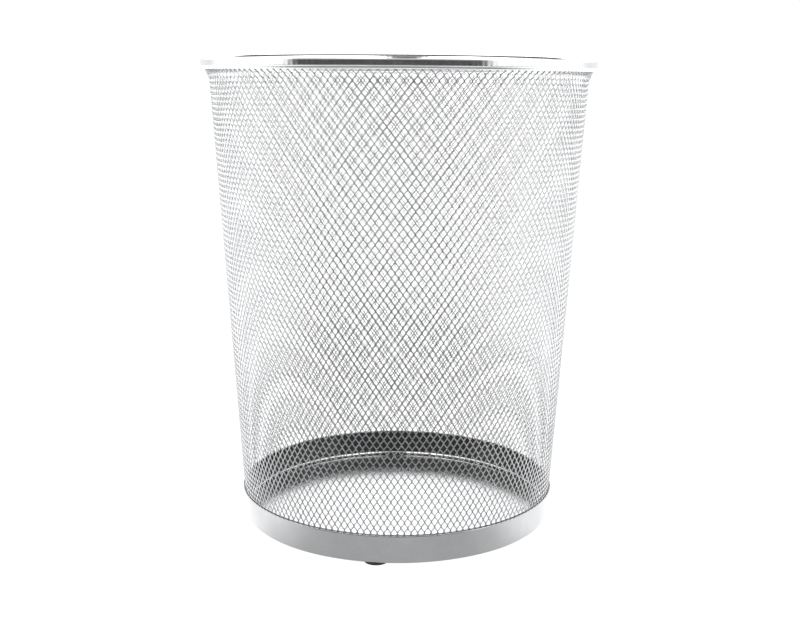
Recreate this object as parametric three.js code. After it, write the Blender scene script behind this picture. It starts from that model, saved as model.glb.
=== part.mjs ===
// Round tapered office wastebasket with an expanded-steel mesh wall, modelled as plain sheet.
// Units are millimetres, +Z is up, the floor is z = 0 and the bin's axis is the Z axis;
// the front faces -Y. Every piece is turned from a profile of [radius, height] points.
import * as THREE from "three";

const { degToRad } = THREE.MathUtils;

// ---- driving dimensions ----
const FACETS = 60; // round every large piece; one shared phase keeps the gaps between them even
const PAD_H = 2.6; // the feet lift the pan's underside this far off the floor
const OVERALL_H = 350.4; // floor to the top of the rolled rim

// Mesh wall: a straight cone, measured at mid thickness
const WALL_REF_R = 120.2; // wall radius at WALL_REF_Z
const WALL_REF_Z = 24.1;
const WALL_SLOPE = 0.0619; // radius gained per millimetre of height
const MESH_T = 0.5;
const MESH_CONE_Z = [5.8, 24, 178, 331.5]; // stations up the cone; the lowest is inside the base

// Mesh above the cone: flares under the rim, is pinched and ends inside the roll.
// Mid-thickness [radius, height].
const MESH_TOP = [
  [139.85, 335.4],
  [140.95, 338.3],
  [142.05, 340.2],
  [142.5, 341.3],
  [141.95, 342.45],
  [141.2, 343.5],
  [141.3, 345.0],
];

// Base pan: pressed cup with a hemmed upper edge
const PAN_SHEET = 0.7;
const PAN_TOP_Z = 23.84;
const PAN_LOW_R = 120.8; // outer radius extrapolated down to the pan's underside
const PAN_SLOPE = 0.0612;
const PAN_CORNER_R = 3.1; // outer radius of the rounded lower corner
const HEM_END_Z = 17.5; // height of the folded edge inside the wall
const HEM_T = 1.34; // thickness of the doubled wall

// Pan wall from the outer face over the hem to the single sheet below it:
// [height whose outer radius is used, inset from that radius, height]
const PAN_WALL = [
  [23.2, 0, 23.2],
  [23.6, 0.14, 23.62],
  [23.8, 0.5, PAN_TOP_Z],
  [23.8, HEM_T - 0.38, PAN_TOP_Z],
  [23.5, HEM_T - 0.02, 23.5],
  [23.1, HEM_T, 23.1],
  [HEM_END_Z, HEM_T, HEM_END_Z],
  [HEM_END_Z, PAN_SHEET, HEM_END_Z],
];

// Inner ring: clamps the mesh against the pan's wall
const RING_T = 0.6;
const RING_GAP = 0.2; // between the ring and the mesh
const RING_BEND_Z = 8; // below this the ring leaves the mesh's cone
const RING_FOOT_Z = 3.65;
const RING_FOOT_INNER_R = 117.92;
const RING_FOOT_OUTER_R = 118.5;
const RING_BEVEL_W = 0.15; // bevels along the top edge: width and height
const RING_BEVEL_H = 0.2;

// Rim: a strip rolled into a bead over the mesh edge, with a lip on each side of the mesh
const RIM_SHEET = 0.5;
const ROLL_R = 3.4; // radius of the roll at mid sheet
const ROLL_CENTRE_R = 142.4; // from the axis to the roll's centre
const ROLL_CENTRE_Z = OVERALL_H - RIM_SHEET / 2 - ROLL_R;
const ROLL_START_DEG = -98; // crease where the outer lip runs into the roll
const ROLL_END_DEG = 237; // where the roll runs into the inner lip
const ROLL_STEPS = 12;
const LIP_LOW_Z = 340.85;

// Lips at mid sheet, [radius, height], in order along the strip
const OUTER_LIP = [
  [143.25, LIP_LOW_Z],
  [143.2, LIP_LOW_Z + 1.15],
  [142.7, LIP_LOW_Z + 2.0],
];
const INNER_LIP = [
  [140.58, 343.2],
  [141.1, 342.2],
  [141.75, 340.9],
];

// Feet
const PAD_R = 9;
const PAD_RING_R = 109.5; // from the bin's axis to each pad's centre
const PAD_FIRST_DEG = -7; // first pad, measured from the front towards +X
const PAD_COUNT = 4;
const PAD_FACETS = 24;
const PAD_EDGE = 0.8; // rounding of the pad's lower edge
const PAD_CLEAR = 0.05; // adhesive line between a pad and the pan

const FINISHES = {
  rim: { color: 0xb9babd, roughness: 0.18, metalness: 1.0 },
  mesh: { color: 0xa6a7aa, roughness: 0.38, metalness: 1.0 },
  pan: { color: 0x9fa0a4, roughness: 0.34, metalness: 0.9 },
  ring: { color: 0x5e5f61, roughness: 0.3, metalness: 0.9 },
  pad: { color: 0x1c1c1e, roughness: 0.8, metalness: 0.0 },
};

// ---- helpers ----
const wallRadius = (z) => WALL_REF_R + WALL_SLOPE * (z - WALL_REF_Z);
const panRadius = (z) => PAN_LOW_R + PAN_SLOPE * (z - PAD_H);

// Point at an angle on a circle in the (radius, height) plane; 0 degrees points outwards.
function arcPoint(centreR, centreZ, radius, degrees) {
  const angle = degToRad(degrees);
  return [centreR + radius * Math.cos(angle), centreZ + radius * Math.sin(angle)];
}

// Outline of a sheet that follows an open centre line, counter-clockwise.
function sheetOutline(centre, thickness) {
  const left = [];
  const right = [];
  centre.forEach(([r, z], i) => {
    // the neighbours on both sides set the direction; at an end, the point itself is one of them
    const [beforeR, beforeZ] = centre[Math.max(0, i - 1)];
    const [afterR, afterZ] = centre[Math.min(centre.length - 1, i + 1)];
    const length = Math.hypot(afterR - beforeR, afterZ - beforeZ);
    const offsetR = (-(afterZ - beforeZ) / length) * (thickness / 2);
    const offsetZ = ((afterR - beforeR) / length) * (thickness / 2);
    left.push([r + offsetR, z + offsetZ]);
    right.push([r - offsetR, z - offsetZ]);
  });
  return [...right, ...left.reverse()];
}

// Solid of revolution about Z. The outline runs counter-clockwise in the (radius, height) plane,
// either from axis to axis or clear of the axis; in the second case it is closed on itself.
function turned(outline, facets = FACETS) {
  const startsOnAxis = outline[0][0] === 0;
  const profile = startsOnAxis ? outline : [...outline, outline[0]];
  const points = profile.map(([r, z]) => new THREE.Vector2(r, z));
  // the lathe turns about Y; the bin's axis is Z
  return new THREE.LatheGeometry(points, facets).rotateX(Math.PI / 2);
}

function piece(name, geometry, finish) {
  const mesh = new THREE.Mesh(geometry, new THREE.MeshStandardMaterial(finish));
  mesh.name = name;
  return mesh;
}

// ---- pieces ----
// Floor, rounded corner, conical wall and the hem folded inwards at its top.
function basePan() {
  const cornerZ = PAD_H + PAN_CORNER_R;
  const cornerR = panRadius(cornerZ) - PAN_CORNER_R;
  const corner = (radius, angles) =>
    angles.map((degrees) => arcPoint(cornerR, cornerZ, radius, degrees));
  return turned([
    [0, PAD_H],
    ...corner(PAN_CORNER_R, [-90, -66, -42, -20, 0]),
    ...PAN_WALL.map(([radiusZ, inset, z]) => [panRadius(radiusZ) - inset, z]),
    ...corner(PAN_CORNER_R - PAN_SHEET, [0, -30, -60, -90]),
    [0, PAD_H + PAN_SHEET],
  ]);
}

// Conical strip just inside the mesh, reaching down into the pan's corner.
function innerRing() {
  const outerRadius = (z) => wallRadius(z) - MESH_T / 2 - RING_GAP;
  const topR = outerRadius(PAN_TOP_Z);
  const bendR = outerRadius(RING_BEND_Z);
  return turned([
    [topR, PAN_TOP_Z - RING_BEVEL_H],
    [topR - RING_BEVEL_W, PAN_TOP_Z],
    [topR - RING_T + RING_BEVEL_W, PAN_TOP_Z],
    [topR - RING_T, PAN_TOP_Z - RING_BEVEL_H],
    [bendR - RING_T, RING_BEND_Z],
    [RING_FOOT_INNER_R, RING_FOOT_Z],
    [RING_FOOT_OUTER_R, RING_FOOT_Z],
    [bendR, RING_BEND_Z],
  ]);
}

function meshSleeve() {
  const cone = MESH_CONE_Z.map((z) => [wallRadius(z), z]);
  return turned(sheetOutline([...cone, ...MESH_TOP], MESH_T));
}

function rimBand() {
  const roll = [];
  for (let i = 0; i <= ROLL_STEPS; i++) {
    const degrees = ROLL_START_DEG + ((ROLL_END_DEG - ROLL_START_DEG) * i) / ROLL_STEPS;
    roll.push(arcPoint(ROLL_CENTRE_R, ROLL_CENTRE_Z, ROLL_R, degrees));
  }
  return turned(sheetOutline([...OUTER_LIP, ...roll, ...INNER_LIP], RIM_SHEET));
}

// Low disc with a rounded lower edge.
function footPad() {
  const edgeMid = PAD_EDGE * 0.3; // inset and height of the point halfway round the edge
  const topZ = PAD_H - PAD_CLEAR;
  const outline = [
    [0, 0],
    [PAD_R - PAD_EDGE, 0],
    [PAD_R - edgeMid, edgeMid],
    [PAD_R, PAD_EDGE],
    [PAD_R, topZ],
    [0, topZ],
  ];
  return turned(outline, PAD_FACETS);
}

// ---- assembly ----
function buildBase() {
  const base = new THREE.Group();
  base.name = "base";
  base.add(piece("base_pan", basePan(), FINISHES.pan));
  base.add(piece("base_inner_ring", innerRing(), FINISHES.ring));
  for (let i = 0; i < PAD_COUNT; i++) {
    const angle = degToRad(PAD_FIRST_DEG + (i * 360) / PAD_COUNT);
    const pad = piece(`foot_pad_${i + 1}`, footPad(), FINISHES.pad);
    pad.position.set(PAD_RING_R * Math.sin(angle), -PAD_RING_R * Math.cos(angle), 0);
    base.add(pad);
  }
  return base;
}

const bin = new THREE.Group();
bin.name = "wastebasket";
bin.add(piece("rim_band", rimBand(), FINISHES.rim));
bin.add(piece("mesh_sleeve", meshSleeve(), FINISHES.mesh));
bin.add(buildBase());

export default bin;
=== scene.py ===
# A round, open basket: a tapered sleeve of expanded metal, a rolled rim at the top, a pressed
# base pan with a ring inside it, and four rubber feet.
# It stands on z = 0 with its axis on Z. The front, where the camera is, is -Y; +X is its right.
# Shapes are worked out in millimetres and turned to metres when a mesh is made.
import math
from functools import partial

import bpy
import numpy as np
from mathutils import Matrix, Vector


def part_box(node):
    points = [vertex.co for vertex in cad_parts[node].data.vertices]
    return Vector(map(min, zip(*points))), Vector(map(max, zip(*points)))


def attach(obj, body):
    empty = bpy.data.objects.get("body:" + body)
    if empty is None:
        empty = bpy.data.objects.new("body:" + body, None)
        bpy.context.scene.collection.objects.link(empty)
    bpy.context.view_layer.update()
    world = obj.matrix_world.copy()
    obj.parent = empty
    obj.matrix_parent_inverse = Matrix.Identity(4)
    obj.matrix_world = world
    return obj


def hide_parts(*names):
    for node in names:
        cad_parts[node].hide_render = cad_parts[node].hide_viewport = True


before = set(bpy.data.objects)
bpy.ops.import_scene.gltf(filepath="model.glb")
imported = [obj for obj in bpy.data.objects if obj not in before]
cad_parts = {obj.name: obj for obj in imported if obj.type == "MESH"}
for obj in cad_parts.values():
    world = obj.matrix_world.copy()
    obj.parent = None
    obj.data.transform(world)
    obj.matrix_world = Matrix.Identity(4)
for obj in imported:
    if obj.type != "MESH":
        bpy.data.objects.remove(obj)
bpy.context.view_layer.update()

MM = 0.001


# ------------------------------------------------------------------ driving sizes (mm)
def box_mm(cad_node):
    """Lowest and highest corner of a CAD piece."""
    low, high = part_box(cad_node)
    return np.array(low) * 1000.0, np.array(high) * 1000.0


PAN_LOW, PAN_HIGH = box_mm("base_pan")
RIM_LOW, RIM_HIGH = box_mm("rim_band")
RING_LOW, RING_HIGH = box_mm("base_inner_ring")
PAD_LOW, PAD_HIGH = box_mm("foot_pad_1")

RIM_RADIUS = RIM_HIGH[0]
TOP_Z = RIM_HIGH[2] + 0.03            # the facets stand a hair inside the round
LIP_Z = RIM_LOW[2]                    # lowest edge of the rim
PAN_FLOOR_Z, PAN_TOP_Z = PAN_LOW[2], PAN_HIGH[2]
PAD_RADIUS = (PAD_HIGH[0] - PAD_LOW[0]) / 2
PAD_TOP_Z = PAD_HIGH[2]

# the sleeve and the pan are cones: a radius at a reference height, and radius gained per mm of height
WALL_REF_RADIUS, WALL_REF_Z, WALL_SLOPE = 120.2, 24.1, 0.0619
PAN_REF_RADIUS, PAN_REF_Z, PAN_SLOPE = PAN_HIGH[0], 23.2, 0.0612
MESH_THICKNESS = 0.5


def wall_radius(z):
    return WALL_REF_RADIUS + WALL_SLOPE * (z - WALL_REF_Z)


def pan_radius(z):
    return PAN_REF_RADIUS + PAN_SLOPE * (z - PAN_REF_Z)


# ------------------------------------------------------------------ outlines, as [radius, z] points
def arc(centre_r, centre_z, radius, start, end, count):
    """Points on an arc between two angles in degrees."""
    angles = np.radians(np.linspace(start, end, count))
    return np.stack([centre_r + radius * np.cos(angles), centre_z + radius * np.sin(angles)], 1)


def resample(points, step, closed=False):
    """Even points along a polyline."""
    points = np.asarray(points, float)
    if closed:
        points = np.vstack([points, points[:1]])
    lengths = np.r_[0, np.cumsum(np.hypot(*np.diff(points, axis=0).T))]
    count = max(2, int(round(lengths[-1] / step)) + 1)
    stations = np.linspace(0, lengths[-1], count)
    even = np.stack([np.interp(stations, lengths, points[:, k]) for k in (0, 1)], 1)
    return even[:-1] if closed else even


def smooth_curve(points, rounds):
    """Corner-cutting (Chaikin) of an open polyline, keeping its ends."""
    points = np.asarray(points, float)
    for _ in range(rounds):
        before, after = points[:-1], points[1:]
        cut = np.empty((2 * len(before), 2))
        cut[0::2] = 0.75 * before + 0.25 * after
        cut[1::2] = 0.25 * before + 0.75 * after
        points = np.vstack([points[:1], cut, points[-1:]])
    return points


def strip_outline(centre, thickness):
    """Closed outline of a sheet along an open centre line, with rounded ends."""
    half = thickness / 2
    along = np.gradient(centre, axis=0)
    along /= np.linalg.norm(along, axis=1)[:, None]
    normal = np.stack([-along[:, 1], along[:, 0]], 1)
    caps = []
    for end, sign in ((-1, 1), (0, -1)):
        caps.append(np.array([
            centre[end] + sign * along[end] * half * math.cos(angle)
            - sign * normal[end] * half * math.sin(angle)
            for angle in map(math.radians, (-60, -30, 0, 30, 60))
        ]))
    left, right = centre + normal * thickness / 2, centre - normal * thickness / 2
    return np.vstack([left, caps[0], right[::-1], caps[1]])


def thin_out(outline, spacing):
    """Points along a closed outline, as far apart as spacing(r, z) says."""
    scan = 0.03
    points = resample(outline, scan, closed=True)
    passed = np.floor(np.cumsum(scan / spacing(points[:, 0], points[:, 1])))
    return points[np.r_[True, passed[1:] > passed[:-1]]]


def signed_area(outline):
    r, z = outline[:, 0], outline[:, 1]
    return 0.5 * np.sum(r * np.roll(z, -1) - np.roll(r, -1) * z)


def waves(phi, terms):
    """Sum of sines round the axis. Each term is (height in mm, waves per turn, phase)."""
    return sum(height * np.sin(count * phi + phase) for height, count, phase in terms)


def bell(x):
    return np.exp(-(x ** 2))


# ------------------------------------------------------------------ mesh helpers
def new_object(name, vertices_mm, face_groups, flat=None):
    """A mesh object. Each face group is an array of polygons with the same corner count;
    flat lists the polygons that are not smooth."""
    groups = [np.asarray(group, np.int32) for group in face_groups]
    corners = np.concatenate([group.ravel() for group in groups])
    totals = np.concatenate([np.full(len(g), g.shape[1], np.int32) for g in groups])
    starts = np.concatenate([[0], np.cumsum(totals)[:-1]]).astype(np.int32)
    smooth = np.ones(len(totals), bool)
    if flat is not None:
        smooth[flat] = False
    mesh = bpy.data.meshes.new(name)
    mesh.vertices.add(len(vertices_mm))
    positions = (np.asarray(vertices_mm, float) * MM).astype(np.float32)
    mesh.vertices.foreach_set("co", positions.ravel())
    mesh.loops.add(len(corners))
    mesh.loops.foreach_set("vertex_index", corners)
    mesh.polygons.add(len(totals))
    mesh.polygons.foreach_set("loop_start", starts)
    mesh.polygons.foreach_set("loop_total", totals)
    mesh.polygons.foreach_set("use_smooth", smooth)
    mesh.update(calc_edges=True)
    mesh.validate()
    piece = bpy.data.objects.new(name, mesh)
    bpy.context.scene.collection.objects.link(piece)
    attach(piece, "root")
    return piece


def turned_points(outline, segments, wobble, centre=(0, 0)):
    """The outline repeated about Z, from -Y towards +X (counter-clockwise seen from above).
    wobble(phi, r, z) gives how far points are moved, as (dr, dz)."""
    angles = np.arange(segments) * 2 * math.pi / segments
    phi, r = np.meshgrid(angles, outline[:, 0], indexing="ij")
    z = np.broadcast_to(outline[:, 1], r.shape).copy()
    if wobble is not None:
        dr, dz = wobble(phi, r, z)
        r, z = r + dr, z + dz
    points = np.stack([centre[0] + r * np.sin(phi), centre[1] - r * np.cos(phi), z], -1)
    return points.reshape(-1, 3)


def turned_quads(segments, count, closed):
    """Quads between neighbouring copies of an outline of count points."""
    segment = np.arange(segments)[:, None]
    this, following = segment * count, (segment + 1) % segments * count
    here = np.arange(count if closed else count - 1)[None, :]
    after = (here + 1) % count
    quads = [this + here, following + here, following + after, this + after]
    return np.stack(quads, -1).reshape(-1, 4)


def lathe(name, outline, segments, wobble):
    """Ring turned from a closed outline, which is made counter-clockwise in (r, z)."""
    if signed_area(outline) < 0:
        outline = outline[::-1]
    points = turned_points(outline, segments, wobble)
    return new_object(name, points, [turned_quads(segments, len(outline), True)])


def lathe_disc(name, profile, segments, centre=(0, 0), wobble=None):
    """Closed body whose profile starts and ends on the axis."""
    turned = profile[1:-1]
    count = len(turned)
    points = turned_points(turned, segments, wobble, centre)
    first_pole = len(points)
    poles = [[centre[0], centre[1], profile[end, 1]] for end in (0, -1)]
    this = np.arange(segments)
    following = (this + 1) % segments
    first_fan = np.stack([np.full(segments, first_pole), following * count, this * count], -1)
    last_fan = np.stack([
        np.full(segments, first_pole + 1), this * count + count - 1, following * count + count - 1,
    ], -1)
    faces = [turned_quads(segments, count, False), first_fan, last_fan]
    return new_object(name, np.vstack([points, poles]), faces)


# ------------------------------------------------------------------ rim
RIM_SHEET = 0.5
ROLL_RADIUS = 3.4                     # of the sheet's centre line
TURN_RADIUS = 0.12                    # tight turn at the lower edge of the roll's outer face
LIP_CORNER_R, LIP_CORNER_RADIUS = 143.20, 0.03
RIPPLES = 240                         # fine ripples round the rim, about 3.8 mm apart


def rim_centre_line():
    """Outer lip, crease, underside, roll and inner lip."""
    roll_z = TOP_Z - RIM_SHEET / 2 - ROLL_RADIUS
    roll_r = RIM_RADIUS + 0.02 - RIM_SHEET / 2 - ROLL_RADIUS
    low = roll_z - ROLL_RADIUS
    roll = arc(roll_r, roll_z, ROLL_RADIUS, 9, 237, 62)
    # the roll's outer face is pressed nearly flat
    turn = arc(roll_r + ROLL_RADIUS - 0.03 - TURN_RADIUS, low + TURN_RADIUS, TURN_RADIUS, -90, -2, 6)
    under = [[roll_r - 0.6, low + 0.05], [roll_r + 0.6, low], [roll_r + 1.8, low], [roll_r + 2.8, low]]
    # the outer lip leans out towards its crisp top corner, and is folded back under the roll
    corner = arc(LIP_CORNER_R - LIP_CORNER_RADIUS, LIP_Z + 2.42, LIP_CORNER_RADIUS, 0, 86, 5)
    outer_face = resample([[142.86, LIP_Z + 0.72], corner[0]], 0.36)[:-1]
    fold = [[142.5, LIP_Z + 2.50], [141.9, LIP_Z + 2.62]]
    inner_lip = smooth_curve(
        [roll[-1], [140.60, 343.2], [140.70, 342.3], [140.86, 341.4], [141.24, LIP_Z + 0.05]], 3)
    return np.vstack([outer_face, corner, fold, under, turn, roll, inner_lip[1:]])


def rim_spacing(r, z):
    """Distance between outline points: finest at the two tight corners, coarse out of sight."""
    lip = (r > 141.9) & (z < LIP_Z + 3.4)
    in_view = lip | (r > RIM_RADIUS - 0.9) | (z > TOP_Z - 0.35)
    low_turn = (r > RIM_RADIUS - 0.55) & (abs(z - (TOP_Z - 7.3)) < 0.42)
    lip_corner = (abs(r - 143.35) < 0.35) & (abs(z - (LIP_Z + 2.5)) < 0.32)
    return np.where(low_turn | lip_corner, 0.12, np.where(in_view, 0.56, 1.10))


def rim_wobble(phi, r, z):
    """Roll-forming chatter, a slow waviness, and a seam down the back."""
    fine = (0.020 * np.sin(RIPPLES * phi + 1.1 * np.sin(9 * phi))
            + 0.008 * np.sin(2 * RIPPLES * phi + 0.7 + 0.8 * np.sin(5 * phi)))
    slow = waves(phi, ((0.05, 3, 0.4), (0.04, 7, 1.9), (0.02, 23, 0.3)))
    crease = bell((z - (LIP_Z + 2.3)) / 1.3) * (r > 141.2)
    seam = -0.16 * bell((phi - math.pi) * r / 0.55) * (z > LIP_Z + 2.6)
    return fine * (0.55 + 1.2 * crease) + slow + seam, 0.25 * slow


def build_rim():
    outline = thin_out(strip_outline(rim_centre_line(), RIM_SHEET), rim_spacing)
    rim = lathe("rolled_rim", outline, 960, rim_wobble)
    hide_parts("rim_band")
    return rim


# ------------------------------------------------------------------ base pan
PAN_SHEET = 0.7
PAN_CORNER_RADIUS = 3.1               # outside, between floor and wall
HEM_THICKNESS = 1.34
HEM_END_Z, HEM_END_RADIUS = 17.5, 0.3
# outer edge of the hem: distance below the pan's top, and inset from the wall at that height
HEM_EDGE = ((0.66, 0.0), (0.62, 0.0), (0.60, 0.004), (0.56, 0.016), (0.30, 0.094))
# crown of the hem: distance below the pan's top, and inset from the wall at the very top
HEM_CROWN = ((0.04, 0.172), (0.01, 0.185), (0.0, 0.215), (0.0, 0.26))


def pan_profile():
    """From the axis under the floor, out and up the wall, over the hem, down inside and back."""
    corner_z = PAN_FLOOR_Z + PAN_CORNER_RADIUS
    corner_r = pan_radius(corner_z) - PAN_CORNER_RADIUS
    outer_corner = arc(corner_r, corner_z, PAN_CORNER_RADIUS, -90, 0, 13)
    inner_corner = arc(corner_r, corner_z, PAN_CORNER_RADIUS - PAN_SHEET, -90, 0, 13)[::-1]
    top = PAN_TOP_Z
    top_r = pan_radius(top)
    hem_r = top_r - HEM_THICKNESS
    hem = np.vstack([
        [[pan_radius(top - drop) - inset, top - drop] for drop, inset in HEM_EDGE],
        [[top_r - inset, top - drop] for drop, inset in HEM_CROWN],
        smooth_curve([[hem_r + 0.30, top - 0.03], [hem_r + 0.05, top - 0.25], [hem_r + 0.02, top - 0.6]], 2),
    ])
    end_r = pan_radius(HEM_END_Z)
    hem_end = arc(end_r - HEM_THICKNESS + HEM_END_RADIUS, HEM_END_Z + HEM_END_RADIUS,
                  HEM_END_RADIUS, 180, 270, 5)
    under = resample([[0.0, PAN_FLOOR_Z], [corner_r - 4, PAN_FLOOR_Z], [corner_r, PAN_FLOOR_Z]], 4.0)
    floor_z = PAN_FLOOR_Z + PAN_SHEET
    floor = resample([[corner_r, floor_z], [0.0, floor_z]], 4.0)
    return np.vstack([
        under[:-1], outer_corner,
        resample([outer_corner[-1], hem[0]], 0.7)[1:-1], hem,
        resample([hem[-1], hem_end[0]], 1.0)[1:-1], hem_end,
        [[end_r - PAN_SHEET, HEM_END_Z + 0.02]],
        resample([[end_r - PAN_SHEET, HEM_END_Z - 0.3], inner_corner[0]], 1.5)[:-1],
        inner_corner, floor[1:],
    ])


def pan_wobble(phi, r, z):
    """Pressing marks: a faintly uneven lower edge and soft waviness of the wall."""
    low = np.clip((9.0 - z) / 7.0, 0, 1) * (r > 105)
    dz = -0.10 * low * (0.5 + 0.5 * np.sin(9 * phi + 0.8)) * bell((r - 118.5) / 2.5)
    dr = (r > 117) * waves(phi, ((0.05, 11, 1.1), (0.035, 17, 2.0), (0.02, 41, 0.0)))
    return dr * np.clip((z - PAN_FLOOR_Z) / 4.0, 0, 1), dz * (z < PAN_FLOOR_Z + 0.6)


def build_pan():
    pan = lathe_disc("pressed_base_pan", pan_profile(), 576, wobble=pan_wobble)
    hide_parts("base_pan")
    return pan


# ------------------------------------------------------------------ inner ring
RING_SHEET = 0.6
RING_GAP = 0.2                        # between the ring and the sleeve
FOOT_BEND_Z = 5.0                     # middle of the bend at the ring's foot


def ring_outline():
    """Down the sleeve's inner face, then bent in at the foot; finer points on the bend."""
    def face_radius(z):
        return wall_radius(z) - MESH_THICKNESS / 2 - RING_GAP - RING_SHEET / 2

    top, low = RING_HIGH[2], RING_LOW[2]
    line = smooth_curve([
        [face_radius(top), top - 0.3], [face_radius(8), 8.0], [118.42, 6.0], [118.1, 4.6],
        [117.2, low + 0.36], [115.9, low + 0.32],
    ], 3)
    fine = resample(resample(line, 0.45), 0.15)
    keep = (abs(fine[:, 1] - FOOT_BEND_Z) < 1.1) | (np.arange(len(fine)) % 3 == 0)
    return strip_outline(fine[keep], RING_SHEET)


def ring_wobble(phi, r, z):
    return waves(phi, ((0.06, 6, 0.5), (0.035, 14, 1.3))), 0.0


def build_ring():
    ring = lathe("inner_clamp_ring", ring_outline(), 576, ring_wobble)
    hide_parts("base_inner_ring")
    return ring


# ------------------------------------------------------------------ foot pads
PAD_LOW_EDGE, PAD_TOP_EDGE = 1.0, 0.25     # edge radii


def build_pads():
    profile = np.vstack([
        [[0, 0], [3.0, 0], [5.5, 0]],
        arc(PAD_RADIUS - PAD_LOW_EDGE, PAD_LOW_EDGE, PAD_LOW_EDGE, -90, 0, 9),
        arc(PAD_RADIUS - PAD_TOP_EDGE, PAD_TOP_Z - PAD_TOP_EDGE, PAD_TOP_EDGE, 0, 90, 5),
        [[4, PAD_TOP_Z], [0, PAD_TOP_Z]],
    ])
    pads = []
    for k in range(1, 5):
        low, high = box_mm(f"foot_pad_{k}")
        centre = (low + high)[:2] / 2
        pad = lathe_disc(f"rubber_foot_{k}", profile, 72, centre=centre)
        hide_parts(f"foot_pad_{k}")
        pads.append(pad)
    return pads


# ------------------------------------------------------------------ expanded-metal sleeve
# Bonds sit in rows, every other row half a cell round. Two families of strands join them:
# family 0 runs down to the right seen from outside, family 1 down to the left.
CELLS = 160                           # diamonds round the wall
SECTOR_CELLS = CELLS // 4
FIRST_CELL_ANGLE = 0.05471
ROWS = np.arange(-2, 89)
# height of bond row 0, the row pitch, and how that pitch grows
ROW_TOP, ROW_PITCH, ROW_GROWTH = 337.83, 3.5607, 0.00188
BOND_HALF_HEIGHT, BOND_HALF_WIDTH = 0.80, 0.44
BOND_SIDE = 0.30                      # half height of a bond's upright side
BOND_PITCH = math.radians(15)         # the bonds lean back a little at the top
BOND_YAW = math.radians(1.5)          # and are all turned a little the same way
STRAND_WIDTH, STRAND_THICKNESS = 0.58, 0.38
STRAND_TWIST = (math.radians(25), math.radians(27))    # about its own length, per family

# (z, radius) of the sheet's mid surface: cone, flare under the rim, pinch in its throat
SLEEVE_STATIONS = np.array([
    (0, wall_radius(0)), (331.0, wall_radius(331.0)), (333.5, wall_radius(333.5) + 0.10),
    (335.4, 139.85), (337.0, 140.45), (338.3, 141.05), (339.4, 141.65), (340.3, 142.15),
    (341.0, 142.42), (341.5, 142.42), (342.0, 142.2), (342.6, 141.75), (343.2, 141.35),
    (343.8, 141.2), (344.4, 141.2), (345.4, 141.3),
])

# bond corners (across, up), clockwise seen from outside, starting at the top
BOND_CORNERS = (
    (0.0, BOND_HALF_HEIGHT), (BOND_HALF_WIDTH, BOND_SIDE), (BOND_HALF_WIDTH, -BOND_SIDE),
    (0.0, -BOND_HALF_HEIGHT), (-BOND_HALF_WIDTH, -BOND_SIDE), (-BOND_HALF_WIDTH, BOND_SIDE),
)
# a bond's vertices are its six outer corners (0-5), then the six inner ones (6-11)
BOND_QUADS = (
    (0, 5, 4, 3), (0, 3, 2, 1),       # outer face
    (6, 9, 10, 11), (6, 7, 8, 9),     # inner face
    (1, 2, 8, 7), (4, 5, 11, 10),     # upright sides
)
TOP_ROW_QUADS = ((0, 1, 7, 6), (5, 0, 6, 11))
BOTTOM_ROW_QUADS = ((2, 3, 9, 8), (3, 4, 10, 9))
# per family: the (upper, lower) corners where a strand leaves the bond above and meets the one below
LEAVING_CORNERS = ((2, 3), (4, 3))
MEETING_CORNERS = ((0, 5), (0, 1))


def sleeve_radius(z):
    return np.interp(z, SLEEVE_STATIONS[:, 0], SLEEVE_STATIONS[:, 1])


def row_height(row):
    return ROW_TOP - ROW_PITCH * row - ROW_GROWTH * row * row


def bond_angle(row, column):
    return (column + 0.5 * (row % 2)) * 2 * math.pi / CELLS + FIRST_CELL_ANGLE


def site_noise(row, column, salt):
    """A steady, repeatable value in [-1, 1] for a lattice site."""
    s = np.sin(row * 12.9898 + (column % CELLS) * 78.233 + salt * 37.719) * 43758.5453
    return 2 * (s - np.floor(s)) - 1


def place(phi, z, across, up, out):
    """Sheet coordinates to space: round the wall, up it, and outwards off the mid surface."""
    height = z + up
    radius = sleeve_radius(height)
    slope = (sleeve_radius(height + 0.4) - sleeve_radius(height - 0.4)) / 0.8
    tilt = 1.0 / np.sqrt(1.0 + slope * slope)
    r = radius + out * tilt
    angle = phi + across / radius
    return np.stack([r * np.sin(angle), -r * np.cos(angle), height - out * slope * tilt], -1)


def bond_vertices(first_column):
    """Twelve vertices for every bond of a sector, row by row."""
    columns = np.arange(first_column, first_column + SECTOR_CELLS)
    row, column = np.meshgrid(ROWS, columns, indexing="ij")
    phi, z = bond_angle(row, column), row_height(row)
    shift_across = 0.05 * site_noise(row, column, 1)
    shift_up = 0.05 * site_noise(row, column, 2)
    shift_out = 0.03 * site_noise(row, column, 3)
    grow = 1 + 0.10 * site_noise(row, column, 4)
    corners = []
    for side in (1, -1):
        for across, up in BOND_CORNERS:
            out = (side * MESH_THICKNESS / 2 + shift_out
                   - across * math.tan(BOND_YAW) - up * math.tan(BOND_PITCH))
            corners.append(place(phi, z, across * grow + shift_across, up * grow + shift_up, out))
    return np.stack(corners, 2).reshape(-1, 3)


def bond_faces():
    """Faces and upright sides of the bonds; the end rows are also walled up where no strands meet."""
    first = np.arange(len(ROWS) * SECTOR_CELLS)[:, None] * 12
    return ([first + quad for quad in BOND_QUADS]
            + [first[:SECTOR_CELLS] + quad for quad in TOP_ROW_QUADS]
            + [first[-SECTOR_CELLS:] + quad for quad in BOTTOM_ROW_QUADS])


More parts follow.
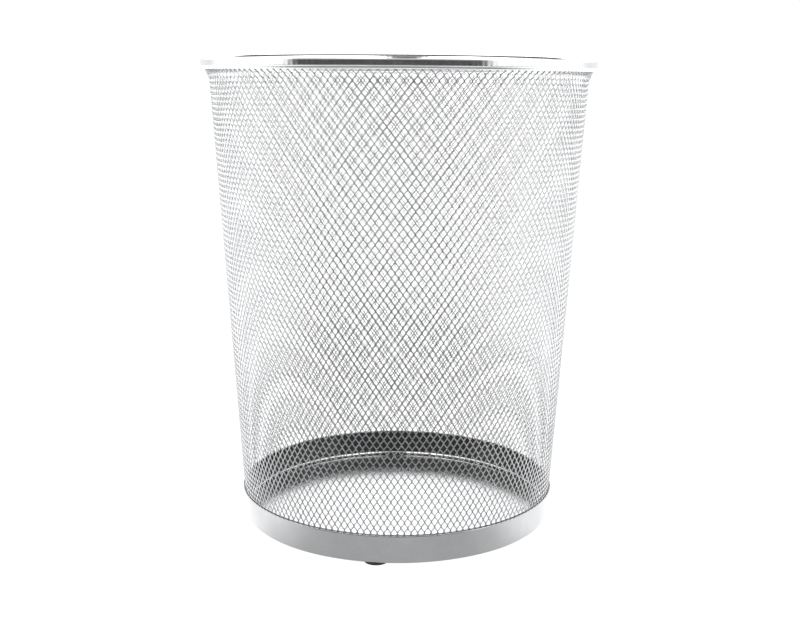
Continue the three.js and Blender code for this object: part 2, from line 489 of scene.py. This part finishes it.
def strand_sections(family, row, column):
    """Four corners of each strand half way along: upper outer, lower outer, lower inner, upper inner."""
    side = 1 if family == 0 else -1
    step = math.pi / CELLS * side
    z_above, z_below = row_height(row), row_height(row + 1)
    phi, z = bond_angle(row, column) + step / 2, (z_above + z_below) / 2
    # a strand runs between the bonds' corners, so it is a little flatter than the line between bonds
    run = sleeve_radius(z) * step - side * BOND_HALF_WIDTH
    rise = z_below - z_above + (BOND_HALF_HEIGHT + BOND_SIDE)
    length = np.hypot(run, rise)
    # square to the strand, towards its upper side
    square_across, square_up = -side * (rise / length), side * (run / length)
    width = STRAND_WIDTH * (1 + 0.08 * site_noise(row, column, 5 + family))
    twist = STRAND_TWIST[family] * (1 + 0.14 * site_noise(row, column, 8 + family))
    cos, sin = np.cos(twist), np.sin(twist)
    corners = []
    for upper, outer in ((1, 1), (-1, 1), (-1, -1), (1, -1)):
        u, v = upper * width / 2, outer * STRAND_THICKNESS / 2
        across_strand, out = u * cos + v * sin, -u * sin + v * cos
        corners.append(place(phi, z, square_across * across_strand, square_up * across_strand, out))
    return np.stack(corners, 1).reshape(-1, 3)


def strand_end_faces(bond, corners, section, reverse):
    """Four quads between an edge of a bond and the section half way along a strand."""
    upper, lower = corners
    edge = [bond + upper, bond + lower, bond + lower + 6, bond + upper + 6]
    faces = []
    for k in range(4):
        after = (k + 1) % 4
        quad = np.stack([edge[k], edge[after], section + after, section + k], -1)
        faces.append(quad[:, ::-1] if reverse else quad)
    return faces


def build_sleeve_sector(name, first_column):
    """A quarter of the sheet, closed by flat cuts half way along the strands that cross its edges."""
    vertices = [bond_vertices(first_column)]
    vertex_count = len(vertices[0])
    faces, cuts = bond_faces(), []
    for family in (0, 1):
        gap, above = np.meshgrid(
            np.arange(len(ROWS) - 1), np.arange(-1, SECTOR_CELLS + 1), indexing="ij")
        below = above + ROWS[gap] % 2 - family
        above_in = (above >= 0) & (above < SECTOR_CELLS)
        below_in = (below >= 0) & (below < SECTOR_CELLS)
        wanted = above_in | below_in
        gap, above, below = gap[wanted], above[wanted], below[wanted]
        above_in, below_in = above_in[wanted], below_in[wanted]

        sections = strand_sections(family, ROWS[gap], above + first_column)
        section = vertex_count + np.arange(len(gap)) * 4
        vertices.append(sections)
        vertex_count += len(sections)
        bond_above = (gap * SECTOR_CELLS + above) * 12
        bond_below = ((gap + 1) * SECTOR_CELLS + below) * 12
        for here, other, bond, corners, reverse in (
            (above_in, below_in, bond_above, LEAVING_CORNERS[family], family == 1),
            (below_in, above_in, bond_below, MEETING_CORNERS[family], family == 0),
        ):
            faces += strand_end_faces(bond[here], corners, section[here], reverse)
            cut = section[here & ~other][:, None] + np.arange(4)
            cuts.append(cut[:, ::-1] if reverse else cut)

    vertices, body = np.vstack(vertices), np.vstack(faces)
    quads = np.vstack([body] + cuts)
    used = np.unique(quads)
    renumber = np.full(len(vertices), -1)
    renumber[used] = np.arange(len(used))
    sector = new_object(name, vertices[used], [renumber[quads]],
                        flat=np.arange(len(body), len(quads)))
    # sheared edges stay crisp, the twist along a strand stays smooth
    sector.data.set_sharp_from_angle(angle=math.radians(48))
    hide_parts("mesh_sleeve")
    return sector


def build_sleeve():
    labels = ("front_left", "front_right", "back_right", "back_left")
    return [build_sleeve_sector(f"mesh_sleeve_{label}", (quarter - 1) * SECTOR_CELLS)
            for quarter, label in enumerate(labels)]


# ------------------------------------------------------------------ shader helpers
def node(tree, kind, inputs=(), **settings):
    """A shader node; each input is given a socket to link from, or a value."""
    made = tree.nodes.new("ShaderNode" + kind)
    for key, value in settings.items():
        setattr(made, key, value)
    for key, value in dict(inputs).items():
        feed(tree, made.inputs[key], value)
    return made


def feed(tree, socket, value):
    if isinstance(value, bpy.types.NodeSocket):
        tree.links.new(value, socket)
    else:
        socket.default_value = value


def math_node(tree, operation, *values):
    return node(tree, "Math", enumerate(values), operation=operation).outputs[0]


def smooth_step(tree, value, span, to=(0.0, 1.0)):
    """Eases from to[0] to to[1] while the value crosses the span."""
    return node(tree, "MapRange", {
        "Value": value, "From Min": span[0], "From Max": span[1], "To Min": to[0], "To Max": to[1],
    }, interpolation_type="SMOOTHSTEP").outputs[0]


def grey(level, tint=0.0):
    """A grey, made bluer by the tint."""
    return (level * (1 - tint), level, level * (1 + tint), 1.0)


def ramp(tree, factor, stops, tint=0.0):
    """Colour ramp of greys from (position, level) stops."""
    made = node(tree, "ValToRGB", {0: factor})
    elements = made.color_ramp.elements
    for element, (position, level) in zip(elements, (stops[0], stops[-1])):
        element.position, element.color = position, grey(level, tint)
    for position, level in stops[1:-1]:
        elements.new(position).color = grey(level, tint)
    return made.outputs[0]


def noise(tree, coords, scale, detail=3.0, rough=0.55):
    return node(tree, "TexNoise", {
        "Scale": scale, "Detail": detail, "Roughness": rough, "Vector": coords,
    }).outputs["Fac"]


def mix_colour(tree, factor, a, b, blend="MIX"):
    return node(tree, "Mix", {"Factor": factor, "A": a, "B": b},
                data_type="RGBA", blend_type=blend).outputs["Result"]


def add_bump(tree, shader, height, strength, distance):
    bump = node(tree, "Bump", {"Strength": strength, "Distance": distance, "Height": height})
    feed(tree, shader.inputs["Normal"], bump.outputs[0])


def object_coords(tree):
    return node(tree, "TexCoord").outputs["Object"]


def split(tree, vector):
    return node(tree, "SeparateXYZ", {0: vector}).outputs


def level_length(tree, x, y, least):
    """Length of a vector's level part, kept off zero."""
    squares = math_node(tree, "MULTIPLY_ADD", x, x, math_node(tree, "MULTIPLY", y, y))
    return math_node(tree, "MAXIMUM", math_node(tree, "SQRT", squares), least)


def camera_forward(tree):
    """X and Y of the camera's forward direction, and the length of that level part."""
    forward = node(tree, "VectorTransform", {0: (0.0, 0.0, 1.0)},
                   vector_type="VECTOR", convert_from="CAMERA", convert_to="WORLD")
    x, y, _ = split(tree, forward.outputs[0])
    return x, y, level_length(tree, x, y, 0.35)


def new_material(name):
    """An empty material with a Principled shader: (material, node tree, shader)."""
    material = bpy.data.materials.new(name)
    material.use_nodes = True
    tree = material.node_tree
    tree.nodes.clear()
    output = node(tree, "OutputMaterial")
    shader = node(tree, "BsdfPrincipled")
    tree.links.new(shader.outputs[0], output.inputs[0])
    return material, tree, shader


# ------------------------------------------------------------------ materials
COAT_TINT = 0.012                     # slightly blue


def coated_metal(name, base, rough, rough_var, peel, fleck=True, scratches=0.0):
    """Metallic lacquer on steel: flake sparkle, orange peel, handling marks."""
    material, tree, shader = new_material(name)
    coords = object_coords(tree)
    cloud = noise(tree, coords, scale=38.0, detail=4.0)
    colour = ramp(tree, cloud, [(0.30, base * 0.93), (0.55, base), (0.75, base * 1.05)], COAT_TINT)
    if fleck:
        flakes = noise(tree, coords, scale=2600.0, detail=2.0, rough=0.7)
        flakes = ramp(tree, flakes, [(0.40, 0.90), (0.62, 1.06)])
        colour = mix_colour(tree, 1.0, colour, flakes, "MULTIPLY")
    feed(tree, shader.inputs["Base Color"], colour)
    shader.inputs["Metallic"].default_value = 1.0

    roughness = node(tree, "MapRange", {
        "Value": noise(tree, coords, scale=120.0, detail=5.0, rough=0.65),
        "From Min": 0.3, "From Max": 0.7,
        "To Min": rough - rough_var, "To Max": rough + rough_var,
    }).outputs[0]
    if scratches:
        upright = node(tree, "Mapping", {"Scale": (9.0, 9.0, 0.35), "Vector": coords}).outputs[0]
        marks = noise(tree, upright, scale=60.0, detail=6.0, rough=0.8)
        marks = ramp(tree, marks, [(0.60, 0.0), (0.66, 1.0)])
        roughness = math_node(tree, "MULTIPLY_ADD", marks, scratches, roughness)
    feed(tree, shader.inputs["Roughness"], roughness)
    add_bump(tree, shader, noise(tree, coords, scale=520.0), strength=peel, distance=0.00008)
    return material


def paint_ring_bend_highlight(material):
    """A painted highlight: a light grey band is painted into the dark ring's colour along the bend at its
    foot, broken into patches.
    """
    height_scale = 50.0               # per metre: the ramp covers the lowest 20 mm
    bend = ((-0.70, 0.0), (-0.58, 1.0), (0.50, 1.0), (0.90, 0.0))    # mm from its middle, strength of the painted highlight
    tree = material.node_tree
    base_colour = tree.nodes["Principled BSDF"].inputs["Base Color"]
    dark = base_colour.links[0].from_socket
    coords = object_coords(tree)
    height = math_node(tree, "MULTIPLY", split(tree, coords)["Z"], height_scale)
    stops = [((FOOT_BEND_Z + offset) * MM * height_scale, highlight_strength) for offset, highlight_strength in bend]
    highlight_band = ramp(tree, height, [(0.0, 0.0), *stops, (1.0, 0.0)])
    patchy = ramp(tree, noise(tree, coords, scale=160.0), [(0.30, 0.55), (0.55, 1.0)])
    highlight_strength = mix_colour(tree, 1.0, highlight_band, patchy, "MULTIPLY")
    # painted highlight: light grey mixed into the ring's dark colour along the bend
    feed(tree, base_colour, mix_colour(tree, highlight_strength, dark, grey(0.75)))


def foot_rubber():
    material, tree, shader = new_material("foot_rubber")
    coords = object_coords(tree)
    colour = ramp(tree, noise(tree, coords, scale=300.0), [(0.3, 0.018), (0.7, 0.035)])
    feed(tree, shader.inputs["Base Color"], colour)
    shader.inputs["Roughness"].default_value = 0.75
    add_bump(tree, shader, noise(tree, coords, scale=1500.0), strength=0.4, distance=0.0001)
    return material


# ------------------------------------------------------------------ floor
# A pale, matt light-table top, self-lit to the camera so that it runs into the backdrop.
FLOOR_RADIUS = 20.0                   # metres, like the other distances on the table
FLOOR_TONE, FLOOR_GLOW = 0.08, 1.02   # diffuse tone, and glow seen by the camera
# light the table gives the object: (in front of it, beside and behind it), close, mid-way, far off
TABLE_NEAR, TABLE_MID, TABLE_FAR = (0.54, 1.42), (3.1, 2.9), (0.27, 1.5)
CLOSE_EDGE, MID_EDGE = (0.17, 0.20), (0.50, 0.62)     # where one zone runs into the next
# cosines of the bearing over which front turns to side, for the inner two zones and the far one
FRONT_EDGE, FAR_FRONT_EDGE = (-0.92, -0.35), (-0.60, 0.10)
# sines of the viewing angle over which the middle of the table brightens, and dims again
SHEEN_RISE, SHEEN_FALL = (0.26, 0.42), (0.80, 0.92)


def table_light(tree, coords):
    """Strength of the table's own light on the object, turning with the camera."""
    calc, smooth = partial(math_node, tree), partial(smooth_step, tree)

    def blend(factor, a, b):
        return calc("MULTIPLY_ADD", factor, calc("SUBTRACT", b, a), a)

    ahead_x, ahead_y, ahead_length = camera_forward(tree)
    x, y, _ = split(tree, coords)
    distance = level_length(tree, x, y, 0.02)
    bearing = calc(
        "DIVIDE",
        calc("MULTIPLY_ADD", x, ahead_x, calc("MULTIPLY", y, ahead_y)),
        calc("MULTIPLY", ahead_length, distance))
    near = smooth(bearing, FRONT_EDGE, TABLE_NEAR)
    mid = smooth(bearing, FRONT_EDGE, TABLE_MID)
    far = smooth(bearing, FAR_FRONT_EDGE, TABLE_FAR)
    view_up = split(tree, node(tree, "NewGeometry").outputs["Incoming"])[2]
    sheen = calc("MULTIPLY", smooth(view_up, SHEEN_RISE), smooth(view_up, SHEEN_FALL, (1.0, 0.0)))
    mid = blend(sheen, far, mid)
    table = blend(smooth(distance, CLOSE_EDGE), near, mid)
    return blend(smooth(distance, MID_EDGE), table, far)


def floor_material():
    material, tree, shader = new_material("studio_floor")
    calc = partial(math_node, tree)
    coords = object_coords(tree)
    tone = ramp(tree, noise(tree, coords, scale=3.0), [(0.3, FLOOR_TONE * 0.99), (0.7, FLOOR_TONE)])
    feed(tree, shader.inputs["Base Color"], tone)
    shader.inputs["Roughness"].default_value = 0.9
    shader.inputs["Specular IOR Level"].default_value = 0.0
    shader.inputs["Emission Color"].default_value = (1, 1, 1, 1)
    to_camera = node(tree, "LightPath").outputs["Is Camera Ray"]
    glow = calc(
        "ADD",
        calc("MULTIPLY", to_camera, FLOOR_GLOW),
        calc("MULTIPLY", calc("SUBTRACT", 1.0, to_camera), table_light(tree, coords)))
    feed(tree, shader.inputs["Emission Strength"], glow)
    # seen from below, the table top is clear, so that the underside can be looked at
    from_below = calc("MULTIPLY", node(tree, "NewGeometry").outputs["Backfacing"], to_camera)
    clear = node(tree, "BsdfTransparent")
    surface = node(tree, "MixShader", {0: from_below, 1: shader.outputs[0], 2: clear.outputs[0]})
    feed(tree, tree.nodes["Material Output"].inputs[0], surface.outputs[0])
    return material


def build_floor():
    mesh = bpy.data.meshes.new("studio_floor")
    angles = [2 * math.pi * k / 96 for k in range(96)]
    circle = [(FLOOR_RADIUS * math.cos(a), FLOOR_RADIUS * math.sin(a), 0.0) for a in angles]
    mesh.from_pydata(circle, [], [list(range(96))])
    floor = bpy.data.objects.new("studio_floor", mesh)
    bpy.context.scene.collection.objects.link(floor)
    mesh.materials.append(floor_material())


# ------------------------------------------------------------------ studio surround
# A white backdrop wraps the sides and back, a soft light hangs overhead, and the camera's own
# side is dark. The set turns with the camera, so every view is lit the same way.
# Brightness of the backdrop's sides, its low and upper middle, and as the camera sees it
BACKDROP_SIDE, BACKDROP_MID, BACKDROP_UP, BACKDROP_SEEN = 1.40, 1.0, 3.0, 1.15
OVERHEAD, OVERHEAD_FRONT = 3.2, 4.6   # straight above, and above the camera's side
DARK_LEVEL, DARK_UPPER = 0.045, 0.48  # light kept on the dark side, low down and higher up
UPPER_BACK_KEEP, GAP_KEEP = 0.03, 0.05
# heights (sines of elevation) over which one zone runs into the next
MID_HEIGHT, OVERHEAD_HEIGHT, ZENITH = (0.12, 0.22), (0.50, 0.60), (0.80, 0.92)
UPPER_BACK_HEIGHT, DARK_HEIGHT = (0.48, 0.60), (0.07, 0.20)
# cosines of the bearing over which a zone begins
LOW_MID_EDGE, UP_MID_EDGE, UPPER_BACK_EDGE = (0.50, 0.72), (0.60, 0.84), (0.35, 0.65)
FRONT_SIDE_EDGE, DARK_EDGE = (-0.20, 0.20), (0.48, 0.62)
# directions' parts away from the camera, where the upper back and the overhead gap begin
UPPER_BACK_AWAY, GAP_AWAY = (0.0, 0.10), (0.05, -0.05)
GAP_CENTRE, GAP_EDGE = 0.05, (0.10, 0.20)     # across: to the camera's right, and half width
# middle of the dark side (away, across): a few degrees to the left of the camera
DARK_AWAY, DARK_ACROSS = -0.9954, -0.096


def studio_light(tree):
    """Brightness of the surround in every direction."""
    calc, smooth = partial(math_node, tree), partial(smooth_step, tree)
    times = partial(calc, "MULTIPLY")

    def outside(zone):
        return calc("SUBTRACT", 1.0, zone)

    x, y, up = split(tree, node(tree, "TexCoord").outputs["Generated"])
    forward_x, forward_y, length = camera_forward(tree)
    ahead_x, ahead_y = calc("DIVIDE", forward_x, length), calc("DIVIDE", forward_y, length)
    away = calc("MULTIPLY_ADD", x, ahead_x, times(y, ahead_y))
    across = calc("SUBTRACT", times(x, ahead_y), times(y, ahead_x))
    level = calc("MAXIMUM", calc("SQRT", outside(times(up, up))), 0.05)
    bearing = calc("DIVIDE", away, level)     # cosine: 1 straight away, -1 at the camera

    # lit zones
    low_mid = times(smooth(bearing, LOW_MID_EDGE), outside(smooth(up, MID_HEIGHT)))
    up_mid = times(smooth(bearing, UP_MID_EDGE), smooth(up, MID_HEIGHT))
    front_up = times(smooth(up, OVERHEAD_HEIGHT), smooth(times(bearing, -1.0), FRONT_SIDE_EDGE))
    lit = calc("MULTIPLY_ADD", low_mid, BACKDROP_MID - BACKDROP_SIDE, BACKDROP_SIDE)
    lit = calc("MULTIPLY_ADD", up_mid, BACKDROP_UP - BACKDROP_SIDE, lit)
    lit = calc("MULTIPLY_ADD", front_up, OVERHEAD_FRONT - BACKDROP_SIDE, lit)
    top = smooth(up, ZENITH)
    lit = calc("ADD", times(lit, outside(top)), times(top, OVERHEAD))

    # dark zones: the upper back, a gap in the overhead light, and the camera's side
    upper_back = times(
        times(smooth(up, UPPER_BACK_HEIGHT), smooth(away, UPPER_BACK_AWAY)),
        smooth(bearing, UPPER_BACK_EDGE))
    from_gap = calc("ABSOLUTE", calc("SUBTRACT", across, GAP_CENTRE))
    gap = times(
        outside(smooth(from_gap, GAP_EDGE)),
        times(smooth(up, OVERHEAD_HEIGHT), smooth(away, GAP_AWAY)))
    for zone, keep in ((upper_back, UPPER_BACK_KEEP), (gap, GAP_KEEP)):
        lit = times(lit, calc("MULTIPLY_ADD", zone, keep - 1.0, 1.0))
    towards_dark = calc("MULTIPLY_ADD", away, DARK_AWAY, times(across, DARK_ACROSS))
    dark_bearing = calc("DIVIDE", towards_dark, level)
    camera_side = times(smooth(dark_bearing, DARK_EDGE), outside(smooth(up, OVERHEAD_HEIGHT)))
    loss = calc("MULTIPLY_ADD", smooth(up, DARK_HEIGHT), DARK_UPPER - DARK_LEVEL, DARK_LEVEL - 1.0)
    return times(lit, calc("MULTIPLY_ADD", camera_side, loss, 1.0))


def build_world():
    world = bpy.data.worlds.new("studio")
    bpy.context.scene.world = world
    world.use_nodes = True
    tree = world.node_tree
    tree.nodes.clear()
    to_camera = node(tree, "LightPath").outputs["Is Camera Ray"]
    # inputs 0, 2 and 3 are the factor, A and B of a float mix
    strength = node(tree, "Mix", {0: to_camera, 2: studio_light(tree), 3: BACKDROP_SEEN},
                    data_type="FLOAT")
    background = node(tree, "Background", {"Strength": strength.outputs[0], "Color": (1, 1, 1, 1)})
    node(tree, "OutputWorld", {0: background.outputs[0]})
    world.cycles.sampling_method = "MANUAL"
    world.cycles.sample_map_resolution = 1024


# ------------------------------------------------------------------ camera
EYE = (10.29, -863.86, 334.49)        # mm
LOOK_DOWN, ROLL = 0.19992, 0.00793    # radians
SENSOR_WIDTH, LENS = 36.0, 51.093
SHIFT_X, SHIFT_Y = -0.0142125, 0.000625


def build_camera():
    data = bpy.data.cameras.new("photo_camera")
    camera = bpy.data.objects.new("photo_camera", data)
    bpy.context.scene.collection.objects.link(camera)
    data.sensor_fit, data.sensor_width = "HORIZONTAL", SENSOR_WIDTH
    data.lens = LENS
    data.shift_x, data.shift_y = SHIFT_X, SHIFT_Y
    data.clip_start, data.clip_end = 0.01, 100.0
    camera.matrix_world = (
        Matrix.Translation([value * MM for value in EYE])
        @ Matrix.Rotation(math.pi / 2 - LOOK_DOWN, 4, "X")
        @ Matrix.Rotation(ROLL, 4, "Z")
    )
    bpy.context.scene.camera = camera


# ------------------------------------------------------------------ build
rim = build_rim()
pan = build_pan()
ring = build_ring()
pads = build_pads()
sleeve = build_sleeve()

rim_metal = coated_metal("silver_rim", base=0.78, rough=0.12, rough_var=0.02, peel=0.10,
                         fleck=False, scratches=0.05)
mesh_metal = coated_metal("silver_mesh", base=0.50, rough=0.21, rough_var=0.04, peel=0.20)
pan_metal = coated_metal("silver_base", base=0.54, rough=0.19, rough_var=0.04, peel=0.20,
                         scratches=0.05)
ring_metal = coated_metal("dark_ring", base=0.08, rough=0.14, rough_var=0.03, peel=0.15)
# paints a highlight band into the ring's colour along its foot
paint_ring_bend_highlight(ring_metal)
rubber = foot_rubber()

for pieces, material in (
    ([rim], rim_metal), ([pan], pan_metal), ([ring], ring_metal), (pads, rubber), (sleeve, mesh_metal),
):
    for piece in pieces:
        piece.data.materials.clear()
        piece.data.materials.append(material)

# hidden CAD nodes still get the finish of the piece that stands for them
for cad_name, material in (
    ("rim_band", rim_metal), ("mesh_sleeve", mesh_metal),
    ("base_pan", pan_metal), ("base_inner_ring", ring_metal),
):
    for material_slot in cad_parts[cad_name].material_slots:
        material_slot.material = material

build_floor()
build_world()
build_camera()

view = bpy.context.scene.view_settings
view.view_transform = "Standard"
view.look = "None"
view.exposure = 0.0
view.gamma = 1.0

# ------------------------------------------------------------------ finish
bpy.context.view_layer.update()
